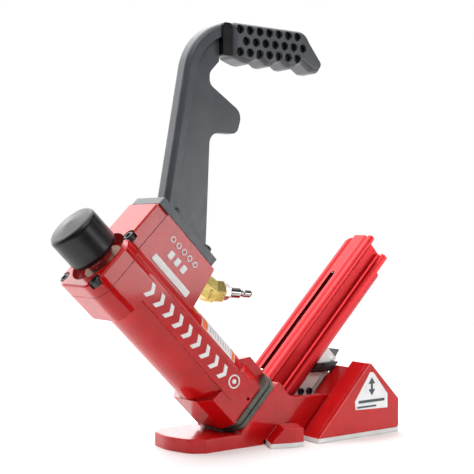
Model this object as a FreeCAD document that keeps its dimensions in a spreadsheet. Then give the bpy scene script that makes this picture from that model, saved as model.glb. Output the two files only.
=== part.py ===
import FreeCAD, Part
import math
import os
import Sketcher

# Flooring nailer: a mallet-struck pneumatic floor nailer, in millimetres.
# +X runs from the striking head towards the magazine, +Z is up, and the tool is
# laid out about the plane Y = 0. The origin is the point where the driver's axis
# meets the floor. The driver leans 45 degrees, and the magazine leans 45 degrees
# the other way. Inclined pieces are drawn in the drive frame: its local z, called
# rise, runs up along the driver's axis, and its local x, called run, goes up along
# the magazine.

Vector = FreeCAD.Vector
Rotation = FreeCAD.Rotation
Placement = FreeCAD.Placement

DOC = FreeCAD.newDocument("flooring_nailer")
SHEET = DOC.addObject("Spreadsheet::Sheet", "Sizes")

SIZES = [
    # striking head, measured along the driver's axis
    ("cap_radius", 24.0), ("cap_low", 263.0), ("cap_high", 301.0), ("cap_edge", 5.0),
    ("ram_radius", 14.0), ("ram_low", 204.0), ("ram_high", 282.0),
    ("cover_low", 244.0), ("cover_high", 258.5), ("cover_pocket_radius", 29.0),
    ("cover_pocket_floor", 249.0), ("bush_radius", 18.0), ("bush_flange_radius", 21.0),
    ("bush_low", 238.0), ("bush_flange_height", 3.0), ("fit_gap", 0.05),
    ("gasket_thickness", 0.5),
    # housing casting
    ("barrel_radius", 33.3), ("barrel_shift", 2.3), ("barrel_low", 55.0),
    ("bore_radius", 28.0), ("bore_high", 176.0), ("valve_bore_radius", 20.0),
    ("head_back", 36.5), ("head_side", 34.5), ("head_corner", 16.0), ("head_low", 213.0),
    ("block_side", 25.0), ("block_end", 68.0), ("block_foot", 171.0), ("block_heel", 161.4),
    ("base_back", 31.5), ("base_side", 33.0), ("base_corner", 12.0), ("base_high", 100.0),
    ("spine_side", 22.0), ("spine_top", 39.0), ("spine_high", 82.0),
    ("band_side", 34.2), ("band_back", 9.5), ("band_front", 14.0),
    # cylinder, piston and driver
    ("sleeve_radius", 25.0), ("sleeve_bore", 22.0), ("sleeve_high", 172.0),
    ("bumper_high", 73.0), ("bumper_hole", 7.0), ("piston_radius", 21.7),
    ("piston_low", 145.0), ("piston_height", 18.0),
    ("blade_low", 74.0), ("blade_thick", 3.2), ("blade_wide", 9.0),
    ("ring_wire", 1.4), ("valve_radius", 15.7), ("cage_bore", 16.0), ("cage_radius", 20.0),
    ("cage_low", 176.0), ("cage_high", 228.0), ("valve_height", 12.0),
    ("spring_radius", 11.0), ("spring_wire", 1.1),
    # handle
    ("flange_thick", 8.0), ("flange_low", 174.7), ("flange_high", 257.0),
    ("web_half", 5.0), ("rim_half", 9.5), ("rim_thick", 12.6), ("rim_edge", 5.0),
    ("grip_half", 14.5), ("grip_wall", 4.0), ("grip_hole_radius", 4.5),
    ("grip_pitch", 11.95), ("grip_row_gap", 10.8), ("handle_top", 407.0),
    # shoe frame and sole
    ("seat_rise", 45.2), ("shoe_side", 37.0), ("shoe_wall", 7.0), ("sole_thick", 13.0),
    ("pad_thick", 4.5), ("shoe_half_span", 66.0), ("ear_high", 18.0),
    ("seal_side", 36.0), ("seal_low_high", 49.4), ("seal_top_low", 50.6), ("seal_floor", 13.2),
    # magazine
    ("mag_high", 44.9), ("mag_low", 3.0), ("mag_half", 14.0), ("mag_near_end", 10.0),
    ("mag_far_end", 238.3), ("mag_cut_end", 217.0), ("track_half", 4.5), ("track_low", 6.0),
    ("track_high", 39.0), ("slot_half", 3.4), ("slot_near", 42.0), ("slot_far", 184.5),
    # adjustable foot
    ("foot_back", 22.0), ("foot_front", 129.3), ("foot_crest", 115.3),
    ("foot_inner", 39.5), ("cheek_thick", 4.0), ("cheek_groove", 1.3), ("rail_half", 10.0),
    ("rail_low", -23.0), ("bracket_low", -15.0), ("bracket_half", 11.5),
]


def fill_sheet():
    for row, (alias, value) in enumerate(SIZES, start=1):
        SHEET.set("A%d" % row, alias)
        SHEET.set("B%d" % row, str(value))
        SHEET.setAlias("B%d" % row, alias)
    DOC.recompute()


def size(alias):
    return float(SHEET.get(alias))


fill_sheet()

# ---------------------------------------------------------------- frames and helpers

LEAN = 45.0
WORLD = Placement()
DRIVE = Placement(Vector(0, 0, 0), Rotation(Vector(0, 1, 0), -LEAN))
# A side frame looks along +Y: its local x and y span the upright mid-plane.
SIDE = Placement(Vector(0, 0, 0), Rotation(Vector(1, 0, 0), 90))
DRIVE_SIDE = DRIVE.multiply(SIDE)
# A run frame looks back down the magazine: its local z is the run direction.
RUN = DRIVE.multiply(Placement(Vector(0, 0, 0), Rotation(Vector(0, 1, 0), 90)))
ROOT_HALF = math.sqrt(0.5)


def from_drive(run, across, rise):
    """The world position of a point given in the drive frame."""
    return DRIVE.multVec(Vector(run, across, rise))


def bind(item, prop, expression):
    item.setExpression(prop, expression)


def new_body(label):
    body = DOC.addObject("PartDesign::Body", label)
    body.Label = label
    return body


def new_sketch(body, frame, height, name):
    """A sketch on the plane at the given height above the frame's own XY plane."""
    sketch = body.newObject("Sketcher::SketchObject", body.Label + "_" + name)
    base = [f for f in body.Origin.OriginFeatures if f.Role == "XY_Plane"][0]
    sketch.AttachmentSupport = [(base, "")]
    sketch.MapMode = "FlatFace"
    sketch.AttachmentOffset = frame.multiply(Placement(Vector(0, 0, height), Rotation()))
    return sketch


def rounded_corner(before, corner, after, radius):
    """Start, middle and end of the arc that rounds a corner."""
    back = (before - corner).normalize()
    ahead = (after - corner).normalize()
    half = back.getAngle(ahead) / 2
    inward = (back + ahead).normalize()
    centre = corner + inward * (radius / math.sin(half))
    reach = radius / math.tan(half)
    return corner + back * reach, centre - inward * radius, corner + ahead * reach


def draw_outline(sketch, points):
    """A closed outline of straight runs. A third number rounds that corner."""
    corners = [Vector(p[0], p[1], 0) for p in points]
    starts, ends = [], []
    for i, point in enumerate(points):
        corner = corners[i]
        start = end = corner
        if len(point) > 2:
            after = corners[(i + 1) % len(points)]
            start, middle, end = rounded_corner(corners[i - 1], corner, after, point[2])
            sketch.addGeometry(Part.Arc(start, middle, end), False)
        starts.append(start)
        ends.append(end)
    for i in range(len(points)):
        start, end = ends[i], starts[(i + 1) % len(points)]
        if (end - start).Length > 1e-6:
            sketch.addGeometry(Part.LineSegment(start, end), False)


def draw_circles(sketch, centres, radius):
    """Circles of one radius, bound to a cell of the sheet or an expression of cells."""
    for number, (u, v) in enumerate(centres):
        index = sketch.addGeometry(Part.Circle(Vector(u, v, 0), Vector(0, 0, 1), 1.0), False)
        name = "radius_%d_%d" % (sketch.GeometryCount, number)
        constraint = sketch.addConstraint(Sketcher.Constraint("Radius", index, 1.0))
        sketch.renameConstraint(constraint, name)
        bind(sketch, "Constraints." + name, radius)


def check_added(body, before, grows):
    DOC.recompute()
    change = body.Shape.Volume - before
    if (change <= 0) if grows else (change >= 0):
        raise RuntimeError(body.Label + ": feature changed nothing, " + body.Tip.Label)


def volume_of(body):
    return 0.0 if body.Shape.isNull() else body.Shape.Volume


def pad(body, sketch, length):
    before = volume_of(body)
    feature = body.newObject("PartDesign::Pad", sketch.Label + "_pad")
    feature.Profile = sketch
    bind(feature, "Length", length)
    check_added(body, before, True)
    return feature


def pocket(body, sketch, length):
    """Removes material from the sketch plane up along the frame's local z."""
    before = volume_of(body)
    feature = body.newObject("PartDesign::Pocket", sketch.Label + "_pocket")
    feature.Profile = sketch
    feature.Reversed = True
    bind(feature, "Length", length)
    check_added(body, before, False)
    return feature


def slab(body, name, frame, points, near, far, cut=False):
    """A flat piece seen from the side, between two Y values."""
    sketch = new_sketch(body, frame, -far, name)
    draw_outline(sketch, points)
    return (pocket if cut else pad)(body, sketch, "%.6g" % (far - near))


def column(body, name, frame, points, low, high, cut=False):
    """A prism seen from above its frame, between two heights."""
    sketch = new_sketch(body, frame, low, name)
    draw_outline(sketch, points)
    return (pocket if cut else pad)(body, sketch, "%.6g" % (high - low))


def round_column(body, name, frame, centres, radius, low, high, cut=False):
    """Round posts or holes between two heights."""
    sketch = new_sketch(body, frame, low, name)
    draw_circles(sketch, centres, radius)
    return (pocket if cut else pad)(body, sketch, "%.6g" % (high - low))


def turned(label, frame, profile):
    """A body turned about its frame's local z. The profile is (radius, height) points."""
    body = new_body(label)
    sketch = new_sketch(body, frame.multiply(SIDE), 0, "profile")
    draw_outline(sketch, profile)
    feature = body.newObject("PartDesign::Revolution", label + "_turn")
    feature.Profile = sketch
    feature.ReferenceAxis = (sketch, ["V_Axis"])
    feature.Angle = 360
    DOC.recompute()
    return body


def dress(body, kind, radius, chosen):
    """Fillets or chamfers every edge of the body that the chosen test accepts."""
    names = ["Edge%d" % (i + 1) for i, edge in enumerate(body.Shape.Edges) if chosen(edge)]
    if not names:
        raise RuntimeError(body.Label + ": no edge to dress")
    base = body.Tip
    feature = body.newObject("PartDesign::" + kind, body.Label + "_" + kind.lower())
    feature.Base = (base, names)
    if kind == "Fillet":
        feature.Radius = radius
    else:
        feature.Size = radius
    body.Tip = feature
    DOC.recompute()
    return feature


def both_sides(half):
    """Accepts an edge that lies flat on either flank of an upright piece."""
    near, far = flat_at(WORLD, 1, -half), flat_at(WORLD, 1, half)
    return lambda edge: near(edge) or far(edge)


def local_point(frame, point):
    return frame.inverse().multVec(point)


def flat_at(frame, axis, value, tolerance=0.05):
    """Accepts an edge whose every vertex has one local coordinate at a value."""
    def chosen(edge):
        return all(abs(local_point(frame, v.Point)[axis] - value) < tolerance
                   for v in edge.Vertexes)
    return chosen


def mirrored_outline(points):
    """A plan outline given for positive Y, completed by its mirror image."""
    return points + [(p[0], -p[1]) + tuple(p[2:]) for p in reversed(points)]


def box_points(low_u, low_v, high_u, high_v, *radius):
    return [(low_u, low_v) + radius, (high_u, low_v) + radius,
            (high_u, high_v) + radius, (low_u, high_v) + radius]


def hexagon(across_flats, turn=0.0):
    corner = across_flats / math.sqrt(3)
    angles = [math.radians(turn + 60 * i) for i in range(6)]
    return [(corner * math.cos(a), corner * math.sin(a)) for a in angles]


# ---------------------------------------------------------------- screws

def screw_shape(head_radius, head_height, shank_radius, shank_length):
    """A socket-head screw along -z, its head standing on z = 0."""
    head = Part.makeCylinder(head_radius, head_height)
    rim = [e for e in head.Edges if e.Vertexes[0].Point.z > head_height / 2
           and len(e.Vertexes) == 1]
    head = head.makeChamfer(head_height * 0.12, rim)
    socket_points = [Vector(u, v, head_height * 0.45)
                     for u, v in hexagon(head_radius * 1.05)]
    socket = Part.Face(Part.makePolygon(socket_points + socket_points[:1]))
    socket = socket.extrude(Vector(0, 0, head_height))
    shank = Part.makeCylinder(shank_radius, shank_length, Vector(0, 0, -shank_length))
    return head.cut(socket).fuse(shank)


def screw_set(label, screw, places):
    """One node that holds a screw at each of its places, as separate solids."""
    group = DOC.addObject("Part::Feature", label)
    group.Label = label
    group.Shape = Part.makeCompound([moved(screw, place) for place in places])
    group.Placement = Placement()
    return group


def moved(shape, place):
    copy = shape.copy()
    copy.Placement = place
    return copy


# ---------------------------------------------------------------- striking head

HEAD_SCREWS = [(-27.5, 27.5), (-27.5, -27.5), (26.5, 20.5), (26.5, -20.5)]
HEAD_SCREW_SEAT = 252.5


def head_outline(inset=0.0):
    back, side = size("head_back") - inset, size("head_side") - inset
    corner = size("head_corner")
    flank = size("block_side") - inset
    return mirrored_outline([(-back, side, corner), (13.0, side, 10.0), (21.5, flank, 8.0),
                             (size("block_end") - inset, flank, 2.5)])


def make_striking_cap():
    low, high, edge = size("cap_low"), size("cap_high"), size("cap_edge")
    radius = size("cap_radius")
    shoulder = high - 3.5
    profile = [(size("ram_radius"), low), (radius - 1.0, low, 0.8), (radius, low + 4, 2.0),
               (radius, shoulder, edge), (0, high), (0, size("ram_high")),
               (size("ram_radius"), size("ram_high"))]
    return turned("striking_cap", DRIVE, profile)


def make_ram_stem():
    radius = size("ram_radius")
    profile = [(0, size("ram_low")), (radius, size("ram_low")), (radius, size("ram_high")),
               (0, size("ram_high"))]
    return turned("ram_stem", DRIVE, profile)


def make_firing_valve():
    high = size("ram_low")
    low = high - size("valve_height")
    radius, groove = size("valve_radius"), size("valve_radius") - 2.6
    middle, half = (low + high) / 2, size("ring_wire") + 0.1
    profile = [(0, low), (radius - 1.5, low), (radius, low + 1.5), (radius, middle - half),
               (groove, middle - half), (groove, middle + half), (radius, middle + half),
               (radius, high), (0, high)]
    return turned("firing_valve", DRIVE, profile)


def ring(label, centre_height, outer_radius):
    """An O-ring about the driver's axis."""
    torus = DOC.addObject("Part::Torus", label)
    torus.Label = label
    torus.Placement = Placement(from_drive(0, 0, centre_height), DRIVE.Rotation)
    bind(torus, "Radius1", "%.6g - Sizes.ring_wire" % outer_radius)
    bind(torus, "Radius2", "Sizes.ring_wire")
    return torus


def make_head_cover():
    body = new_body("head_cover")
    low, high = size("cover_low"), size("cover_high")
    column(body, "plan", DRIVE, head_outline(), low, high)
    dress(body, "Chamfer", 1.6, flat_at(DRIVE, 2, high))
    round_column(body, "well", DRIVE, [(0, 0)], "Sizes.cover_pocket_radius",
                 size("cover_pocket_floor"), high + 1, cut=True)
    round_column(body, "bush_hole", DRIVE, [(0, 0)], "Sizes.bush_radius", low, high, cut=True)
    round_column(body, "holes", DRIVE, HEAD_SCREWS, "2.7", low, high, cut=True)
    round_column(body, "counterbores", DRIVE, HEAD_SCREWS, "6.4", HEAD_SCREW_SEAT, high + 1,
                 cut=True)
    return body


def make_head_gasket():
    body = new_body("head_gasket")
    low = size("cover_low") - size("gasket_thickness")
    column(body, "plan", DRIVE, head_outline(0.4), low, size("cover_low"))
    round_column(body, "eye", DRIVE, [(0, 0)], "Sizes.valve_bore_radius", low,
                 size("cover_low"), cut=True)
    round_column(body, "holes", DRIVE, HEAD_SCREWS, "2.7", low, size("cover_low"), cut=True)
    return body


def make_ram_bushing():
    bore = size("ram_radius") + size("fit_gap")
    low, floor = size("bush_low"), size("cover_pocket_floor")
    top = floor + size("bush_flange_height")
    radius, flange = size("bush_radius"), size("bush_flange_radius")
    profile = [(bore, low), (radius, low), (radius, floor), (flange, floor), (flange, top - 1),
               (flange - 1, top), (bore, top)]
    return turned("ram_bushing", DRIVE, profile)


def make_head_screws():
    screw = screw_shape(5.0, 6.0, 2.5, 22.0)
    places = [Placement(from_drive(u, v, HEAD_SCREW_SEAT), DRIVE.Rotation)
              for u, v in HEAD_SCREWS]
    return screw_set("head_screws", screw, places)


# ---------------------------------------------------------------- housing

BASE_BOLTS = [(-20.5, 26.5), (-20.5, -26.5), (24.0, 24.0), (24.0, -24.0)]
BASE_BOLT_SEAT = 36.0
HANDLE_SCREWS = [(238.0, 17.0), (238.0, -17.0), (187.0, 17.0), (187.0, -17.0)]
INLET_RUN = 57.2
INLET_TURN = 169.3


def end_face_rise(run):
    """Rise of the block's sloping lower end at a given run."""
    slope = (size("block_foot") - size("block_heel")) / (size("block_end") - 17.0)
    return size("block_heel") + (run - 17.0) * slope


def inlet_frame():
    """Local z leaves the block square to its sloping lower end."""
    turn = Rotation(Vector(0, 1, 0), INLET_TURN)
    return DRIVE.multiply(Placement(Vector(INLET_RUN, 0, end_face_rise(INLET_RUN)), turn))


def block_outline():
    """The valve block seen from the side, in the drive frame."""
    top = size("cover_low") - size("gasket_thickness")
    return [(0, top), (size("block_end"), top), (size("block_end"), size("block_foot"), 2.0),
            (17.0, size("block_heel")), (0, size("block_heel"))]


def make_housing():
    body = new_body("cylinder_housing")
    low, top = size("barrel_low"), size("cover_low") - size("gasket_thickness")
    back, side, corner = size("base_back"), size("base_side"), size("base_corner")
    base_plan = mirrored_outline([(-back, 19.7), (-22.6, side), (back - corner, side),
                                  (back, side - corner)])
    column(body, "base", DRIVE, base_plan, low, size("base_high"))
    over = size("base_high") + 1
    slope = [(-back - 1, over), (-back - 1, 96.0), (-23.0, 90.5), (-6.0, 88.0),
             (back + 1, 80.0), (back + 1, over)]
    slab(body, "base_slope", DRIVE_SIDE, slope, -side - 1, side + 1, cut=True)
    round_column(body, "barrel", DRIVE, [(size("barrel_shift"), 0)], "Sizes.barrel_radius",
                 low, top)
    column(body, "head", DRIVE, head_outline(), size("head_low"), top)
    slab(body, "block", DRIVE_SIDE, block_outline(), -size("block_side"), size("block_side"))
    spine = size("spine_top")
    spine_side = [(20, low), (spine, low, 2.0), (spine, size("spine_high") - 3.0, 2.0),
                  (spine - 4.0, size("spine_high"), 1.5), (29.0, size("spine_high") + 5),
                  (20, size("spine_high") + 5)]
    slab(body, "spine", DRIVE_SIDE, spine_side, -size("spine_side"), size("spine_side"))
    band = box_points(-size("band_back"), 72.0, size("band_front"), 224.0, 3.0)
    slab(body, "band", DRIVE_SIDE, band, -size("band_side"), size("band_side"))
    round_column(body, "bore", DRIVE, [(0, 0)], "Sizes.bore_radius", low, size("bore_high"),
                 cut=True)
    round_column(body, "valve_bore", DRIVE, [(0, 0)], "Sizes.valve_bore_radius",
                 size("bore_high"), top, cut=True)
    column(body, "reservoir", DRIVE, box_points(34, -18, 61, 18, 5.0), 182.0, top, cut=True)
    slab(body, "passage", DRIVE_SIDE, box_points(16, 200, 36, 226, 2.0), -8, 8, cut=True)
    round_column(body, "inlet", inlet_frame(), [(0, 0)], "7", -17.0, 4.0, cut=True)
    round_column(body, "head_taps", DRIVE, HEAD_SCREWS, "2.5", 226.0, top, cut=True)
    round_column(body, "base_taps", DRIVE, BASE_BOLTS, "3", low, low + 14, cut=True)
    taps = [(-rise, across) for rise, across in HANDLE_SCREWS]
    round_column(body, "handle_taps", RUN, taps, "2.5", size("block_end") - 6,
                 size("block_end"), cut=True)
    vent = new_sketch(body, DRIVE_SIDE, size("base_side") - 3.5, "vent")
    draw_circles(vent, [(4.0, 59.5)], "1.8")
    pocket(body, vent, "6")
    return body


def make_sleeve():
    low, high = size("barrel_low"), size("sleeve_high")
    bore, outer = size("sleeve_bore"), size("sleeve_radius")
    profile = [(bore, low), (outer, low), (outer, high - 8), (size("bore_radius"), high - 8),
               (size("bore_radius"), high), (bore, high)]
    return turned("cylinder_sleeve", DRIVE, profile)


def make_bumper():
    low, high = size("barrel_low"), size("bumper_high")
    outer = size("sleeve_bore")
    profile = [(size("bumper_hole"), low), (outer, low), (outer, high - 6), (outer - 3, high),
               (size("bumper_hole") + 2, high), (size("bumper_hole"), high - 3)]
    return turned("bumper", DRIVE, profile)


def make_valve_cage():
    low, high = size("cage_low"), size("cage_high")
    bore, outer = size("cage_bore"), size("cage_radius")
    profile = [(8.0, low), (outer, low), (outer, high), (bore, high), (bore, low + 2.5),
               (8.0, low + 2.5)]
    body = turned("valve_cage", DRIVE, profile)
    ports = new_sketch(body, DRIVE_SIDE, -outer - 1, "ports")
    draw_circles(ports, [(0, high - 12)], "4")
    pocket(body, ports, "%.6g" % (2 * outer + 2))
    return body


def make_ram_spring():
    """A compression spring below the firing valve, closed at both ends."""
    wire = size("spring_wire")
    low = size("cage_low") + 2.5 + wire
    high = size("ram_low") - size("valve_height") - wire
    helix = Part.makeHelix((high - low) / 3.0, high - low, size("spring_radius"))
    circle = Part.Wire(Part.makeCircle(wire, Vector(size("spring_radius"), 0, 0),
                                       Vector(0, 1, 0)))
    spring = DOC.addObject("Part::Feature", "ram_spring")
    spring.Label = "ram_spring"
    spring.Shape = helix.makePipeShell([circle], True, True)
    spring.Placement = Placement(from_drive(0, 0, low), DRIVE.Rotation)
    return spring


def make_piston():
    low = size("piston_low")
    high = low + size("piston_height")
    radius, groove = size("piston_radius"), size("piston_radius") - 2.4
    middle, half = (low + high) / 2, size("ring_wire") + 0.1
    profile = [(0, low), (radius - 4, low), (radius, low + 4), (radius, middle - half),
               (groove, middle - half), (groove, middle + half), (radius, middle + half),
               (radius, high - 1), (radius - 1, high), (radius - 7, high),
               (radius - 8, high - 5), (0, high - 5)]
    return turned("piston", DRIVE, profile)


def make_driver_blade():
    body = new_body("driver_blade")
    half_thick, half_wide = size("blade_thick") / 2, size("blade_wide") / 2
    column(body, "blade", DRIVE, box_points(-half_thick, -half_wide, half_thick, half_wide),
           size("blade_low"), size("piston_low"))
    return body


# ---------------------------------------------------------------- handle

GRIP_START = -42.0
ARM_END = GRIP_START - 11.0
TANG_LOW, TANG_HIGH, TANG_END = 381.0, 401.0, 42.0


ARM_FRONT = -69.5
ARM_LEAN = 0.184
ARM_BEND, ARM_BEND_X, ARM_BEND_Z = 57.0, -37.3, 350.0


def flange_reach():
    """World x + z just inside the flange's outer face, where the arm starts."""
    return (size("block_end") + size("flange_thick") - 2) / ROOT_HALF


def arm_back(z):
    """World x of the straight part of the arm's back edge."""
    return ARM_BEND_X - ARM_BEND * math.hypot(1.0, ARM_LEAN) + ARM_LEAN * (z - ARM_BEND_Z)


def arm_back_line(inset):
    """The arm's back edge moved inwards, from the flange round into the grip."""
    top = ARM_BEND_Z + ARM_BEND - inset
    foot = (arm_back(flange_reach()) + inset) / (1 + ARM_LEAN)
    return [(foot, flange_reach() - foot), (arm_back(top) + inset, top, ARM_BEND - inset),
            (ARM_BEND_X + 2.0, top)]


def arm_outline():
    """The arm's web seen from the side, from the flange up to the grip."""
    return arm_back_line(6.0) + [(ARM_BEND_X + 2.0, 373.5), (ARM_END, 368.5),
                                 (-64.0, 357.0, 8.0), (-64.0, 345.8, 9.0),
                                 (-25.4, 320.2, 12.0), (-31.6, 299.6, 8.0),
                                 (-63.9, 299.6, 11.0),
                                 (ARM_FRONT, flange_reach() - ARM_FRONT)]


def on_back_edge(edge):
    """Accepts an edge that runs along the back of the arm."""
    for vertex in edge.Vertexes:
        x, z = vertex.Point.x, vertex.Point.z
        bend = math.hypot(x - ARM_BEND_X, z - ARM_BEND_Z) - ARM_BEND
        if min(abs(x - arm_back(z)), abs(bend), abs(z - size("handle_top"))) > 0.3:
            return False
    return True


def make_handle_frame():
    body = new_body("handle_frame")
    rim = size("rim_half")
    strip = arm_back_line(0.0) + list(reversed(arm_back_line(size("rim_thick"))))
    slab(body, "back_rim", SIDE, strip, -rim, rim)
    flanks = both_sides(rim)
    dress(body, "Fillet", size("rim_edge"), lambda edge: flanks(edge) and on_back_edge(edge))
    slab(body, "web", SIDE, arm_outline(), -size("web_half"), size("web_half"))
    slab(body, "grip_seat", SIDE, box_points(ARM_END, 360.0, 0.0, 420.0), -rim - 1, rim + 1,
         cut=True)
    end, thick = size("block_end") + size("gasket_thickness"), size("flange_thick")
    side = size("block_side")
    column(body, "flange", RUN,
           box_points(-size("flange_high"), -side, -size("flange_low"), side, 2.0), end,
           end + thick)
    tang = box_points(ARM_END - 3, TANG_LOW, TANG_END, TANG_HIGH, 2.0)
    slab(body, "tang", SIDE, tang, -size("web_half"), size("web_half"))
    holes = [(-rise, across) for rise, across in HANDLE_SCREWS]
    round_column(body, "holes", RUN, holes, "2.7", end, end + thick, cut=True)
    return body


def make_handle_gasket():
    body = new_body("handle_gasket")
    side = size("block_side") - 0.5
    end = size("block_end")
    column(body, "plan", RUN,
           box_points(-size("flange_high") + 0.5, -side, -size("flange_low") - 0.5, side, 2.0),
           end, end + size("gasket_thickness"))
    holes = [(-rise, across) for rise, across in HANDLE_SCREWS]
    round_column(body, "holes", RUN, holes, "2.7", end, end + size("gasket_thickness"),
                 cut=True)
    return body


def make_handle_screws():
    seat = size("block_end") + size("gasket_thickness") + size("flange_thick")
    places = [RUN.multiply(Placement(Vector(-rise, across, seat), Rotation()))
              for rise, across in HANDLE_SCREWS]
    return screw_set("handle_screws", screw_shape(4.5, 5.0, 2.5, 14.0), places)


GRIP_WAVES = (-24.5, 2.1, 29.1)


def grip_outline():
    """The grip seen from the side, with finger waves along its underside."""
    top = size("handle_top")
    crest_low, dip_high = 367.5, 375.0
    points = [(GRIP_START, 372.8, 5.0), (GRIP_START, top, 4.0), (49.0, top, 14.0),
              (56.5, 396.0, 16.0), (73.0, 376.0, 5.0), (66.0, 366.2, 4.0), (57.0, 366.2, 5.0)]
    for crest in reversed(GRIP_WAVES):
        points.append((crest + 13.5, dip_high, 6.0))
        points.append((crest + 2.5, crest_low, 4.0))
        points.append((crest - 3.0, crest_low + 0.6, 4.0))
    return points


def grip_hollow():
    """The space inside the grip that its liner fills."""
    return box_points(GRIP_START - 1, 374.5, 50.0, 403.6, 3.0)


def make_grip_sleeve():
    body = new_body("grip_sleeve")
    half = size("grip_half")
    slab(body, "side", SIDE, grip_outline(), -half, half)
    dress(body, "Fillet", 6.0, both_sides(half))
    slab(body, "hollow", SIDE, grip_hollow(), -half + size("grip_wall"), half - size("grip_wall"),
         cut=True)
    pitch, gap = size("grip_pitch"), size("grip_row_gap")
    centres = []
    for row in range(3):
        start = GRIP_START + 7.8 + (7.2 if row == 1 else 0.0)
        centres += [(start + pitch * column_number, 378.5 + gap * row)
                    for column_number in range(7)]
    for number, depth in enumerate((-half - 1, half - size("grip_wall") - 0.5)):
        sketch = new_sketch(body, SIDE, depth, "vents_%d" % number)
        draw_circles(sketch, centres, "Sizes.grip_hole_radius")
        pocket(body, sketch, "Sizes.grip_wall + 1.5")
    return body


def make_grip_core():
    """The black liner between the arm's tang and the vented grip."""
    body = new_body("grip_core")
    half = size("grip_half") - size("grip_wall")
    slab(body, "liner", SIDE, box_points(ARM_END, 373.5, GRIP_START, 405.5, 3.0), -half - 1.2,
         half + 1.2)
    slab(body, "inside", SIDE, grip_hollow(), -half, half)
    cavity = box_points(ARM_END - 3, TANG_LOW, TANG_END, TANG_HIGH, 2.0)
    slab(body, "cavity", SIDE, cavity, -size("web_half"), size("web_half"), cut=True)
    return body


# ---------------------------------------------------------------- air inlet

ELBOW_CENTRE = (-60.5, 147.5)
PLUG_DIP = 6.0
PLUG_BACK = 14.0


def plug_frame():
    """Local z leaves the elbow along the plug's axis, a little below level."""
    turn = Rotation(Vector(0, 1, 0), 90 + PLUG_DIP)
    return Placement(Vector(ELBOW_CENTRE[0], 0, ELBOW_CENTRE[1]), turn)


def make_brass_elbow():
    body = new_body("brass_elbow")
    nut = inlet_frame()
    reach = nut.inverse().multVec(Vector(ELBOW_CENTRE[0], 0, ELBOW_CENTRE[1])).z
    column(body, "nut", nut, hexagon(21.0, 30.0), 1.5, reach + 5.0)
    round_column(body, "spigot", nut, [(0, 0)], "7", -10.0, 2.0)
    column(body, "outlet", plug_frame(), hexagon(20.0, 30.0), -6.0, PLUG_BACK - 2.0)
    round_column(body, "lip", plug_frame(), [(0, 0)], "8.4", PLUG_BACK - 2.5, PLUG_BACK)
    return body


def make_air_plug():
    frame = plug_frame()
    body = new_body("air_plug")
    column(body, "hex", frame, hexagon(14.3, 0.0), PLUG_BACK, PLUG_BACK + 6.5)
    profile = [(0, PLUG_BACK + 6), (5.0, PLUG_BACK + 6), (5.0, PLUG_BACK + 7.5),
               (5.5, PLUG_BACK + 8), (5.5, PLUG_BACK + 20.0, 0.6),
               (3.4, PLUG_BACK + 22.0, 0.6), (3.4, PLUG_BACK + 25.0, 0.6),
               (4.0, PLUG_BACK + 26.0, 0.4), (4.0, PLUG_BACK + 33.0, 0.8),
               (3.2, PLUG_BACK + 35.0, 0.6), (0, PLUG_BACK + 35.0)]
    sketch = new_sketch(body, frame.multiply(SIDE), 0, "profile")
    draw_outline(sketch, profile)
    feature = body.newObject("PartDesign::Revolution", "air_plug_turn")
    feature.Profile = sketch
    feature.ReferenceAxis = (sketch, ["V_Axis"])
    feature.Angle = 360
    DOC.recompute()
    round_column(body, "airway", frame, [(0, 0)], "2.2", PLUG_BACK, PLUG_BACK + 36, cut=True)
    return body


# ---------------------------------------------------------------- shoe frame

def on_seat(run):
    """World x and z of a point on the housing's mounting plane."""
    point = from_drive(run, 0, size("seat_rise"))
    return point.x, point.z


EAR_SWEEP = 26.0
EAR_TIP = 2.5
EAR_BEND = -6.5
EAR_DROP = 0.8
EAR_TAPER = 0.31


def ear_frame(flank):
    """A side frame swept back like the ears: flank is -1 near and 1 far."""
    return Placement(Vector(), Rotation(Vector(0, 0, 1), flank * EAR_SWEEP)).multiply(SIDE)


def ear_pad_plan(flank):
    """The pad under an ear seen from above, from the shoe's wall out to the tip."""
    span, root = size("shoe_half_span"), size("shoe_side")
    plan = [(-21.0, root), (-31.0, 57.5), (EAR_BEND, span - EAR_DROP), (EAR_TIP, span),
            (15.8, root)]
    return [(x, y * flank) for x, y in plan]


def add_ears(body):
    """Two swept-back ears that carry the front pads, each with a sloping back."""
    side, span, pads = size("shoe_side"), size("shoe_half_span"), size("pad_thick")
    high = size("ear_high")
    profile = [(-2.2, pads), (31.0, pads), (31.0, high, 1.5), (11.0, high, 1.0)]
    for flank, name in ((-1, "near"), (1, "far")):
        near, far = sorted((flank * (side - 4.0), flank * (span + 16.0)))
        slab(body, "ear_" + name, ear_frame(flank), profile, near, far)
        clear, bend = 60.0, span - EAR_DROP
        outside = [(-clear, flank * (bend - (clear + EAR_BEND) * EAR_TAPER)),
                   (EAR_BEND, flank * bend), (EAR_TIP, flank * span), (clear, flank * span),
                   (clear, flank * 2 * clear), (-clear, flank * 2 * clear)]
        column(body, "ear_trim_" + name, WORLD, outside, 0.0, 2 * high, cut=True)


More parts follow.
